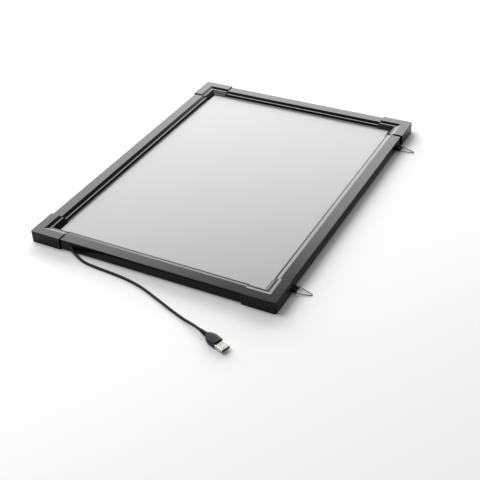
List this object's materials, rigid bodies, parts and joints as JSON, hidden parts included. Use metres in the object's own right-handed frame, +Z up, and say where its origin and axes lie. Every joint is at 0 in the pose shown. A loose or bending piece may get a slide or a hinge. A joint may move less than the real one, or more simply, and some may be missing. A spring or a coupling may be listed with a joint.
{
  "type": "led panel light",
  "caption": "Flat edge-lit LED panel in a black aluminium frame with plastic corner blocks, a captive USB lead and wire hanging rings.",
  "frame": {"origin": "middle of the plane that the four corner blocks rest on", "axes": "+X across the panel, out of the rail with the hanging rings; +Y along the panel, away from the rail with the USB lead; +Z up, out of the lit face"},
  "size_m": [0.3734, 0.5549, 0.0162],
  "materials": {
    "rail_aluminium": "satin black anodised",
    "block_plastic": "satin black moulded",
    "zinc_steel": "zinc plated",
    "screw_black": "black oxide",
    "opal_sheet": "satin opal acrylic",
    "clear_guide": "clear polished acrylic",
    "reflector_film": "matt white film",
    "back_board": "matt black sheet",
    "gasket_foam": "matt black foam",
    "circuit_board": "solder mask",
    "strip_board": "white solder mask",
    "led_body": "phosphor over white",
    "chip_epoxy": "matt epoxy",
    "can_metal": "sleeved can",
    "tray_plastic": "natural nylon",
    "wire_red": "insulation",
    "wire_white": "insulation",
    "socket_plastic": "moulded",
    "pin_metal": "nickel plated",
    "clip_plastic": "matt black",
    "ring_steel": "bright steel wire",
    "cord_rubber": "satin black",
    "plug_plastic": "satin black",
    "plug_steel": "nickel plated",
    "tongue_plastic": "white",
    "contact_gold": "gold plated"
  },
  "bodies": {
    "panel": {"back_panel": "back_board", "board_tray": "tray_plastic", "capacitors": "can_metal", "control_board": "circuit_board", "cord_gland": "cord_rubber", "corner_block_back_left": "block_plastic", "corner_block_back_right": "block_plastic", "corner_block_front_left": "block_plastic", "corner_block_front_right": "block_plastic", "corner_plate_back_left": "zinc_steel", "corner_plate_back_right": "zinc_steel", "corner_plate_front_left": "zinc_steel", "corner_plate_front_right": "zinc_steel", "dc_leads": "wire_red", "dc_socket": "socket_plastic", "dc_socket_pin": "pin_metal", "diffuser_sheet": "opal_sheet", "driver_chip": "chip_epoxy", "frame_screws": "screw_black", "gasket_back": "gasket_foam", "gasket_front": "gasket_foam", "gasket_left": "gasket_foam", "gasket_right": "gasket_foam", "hanger_clip_back": "clip_plastic", "hanger_clip_front": "clip_plastic", "hanger_screws": "screw_black", "inductor": "chip_epoxy", "led_leads": "wire_white", "led_strip_left": "strip_board", "led_strip_right": "strip_board", "leds_left": "led_body", "leds_right": "led_body", "light_guide": "clear_guide", "rail_back": "rail_aluminium", "rail_front": "rail_aluminium", "rail_left": "rail_aluminium", "rail_right": "rail_aluminium", "receiver_module": "circuit_board", "reflector_sheet": "reflector_film", "usb_contacts": "contact_gold", "usb_cord": "cord_rubber", "usb_plug_grip": "plug_plastic", "usb_plug_shell": "plug_steel", "usb_plug_tail": "plug_plastic", "usb_plug_tongue": "tongue_plastic"},
    "ring_front": {"hanger_ring_front": "ring_steel"},
    "ring_back": {"hanger_ring_back": "ring_steel"}
  },
  "joints": [
    {"name": "ring_front_swing", "type": "hinge", "parent": "panel", "child": "ring_front", "pos_m": [0.178, -0.185, 0.0021], "axis": [0, 1, 0], "range_deg": [-105, 110]},
    {"name": "ring_back_swing", "type": "hinge", "parent": "panel", "child": "ring_back", "pos_m": [0.178, 0.177, 0.0021], "axis": [0, 1, 0], "range_deg": [-105, 110]}
  ]
}
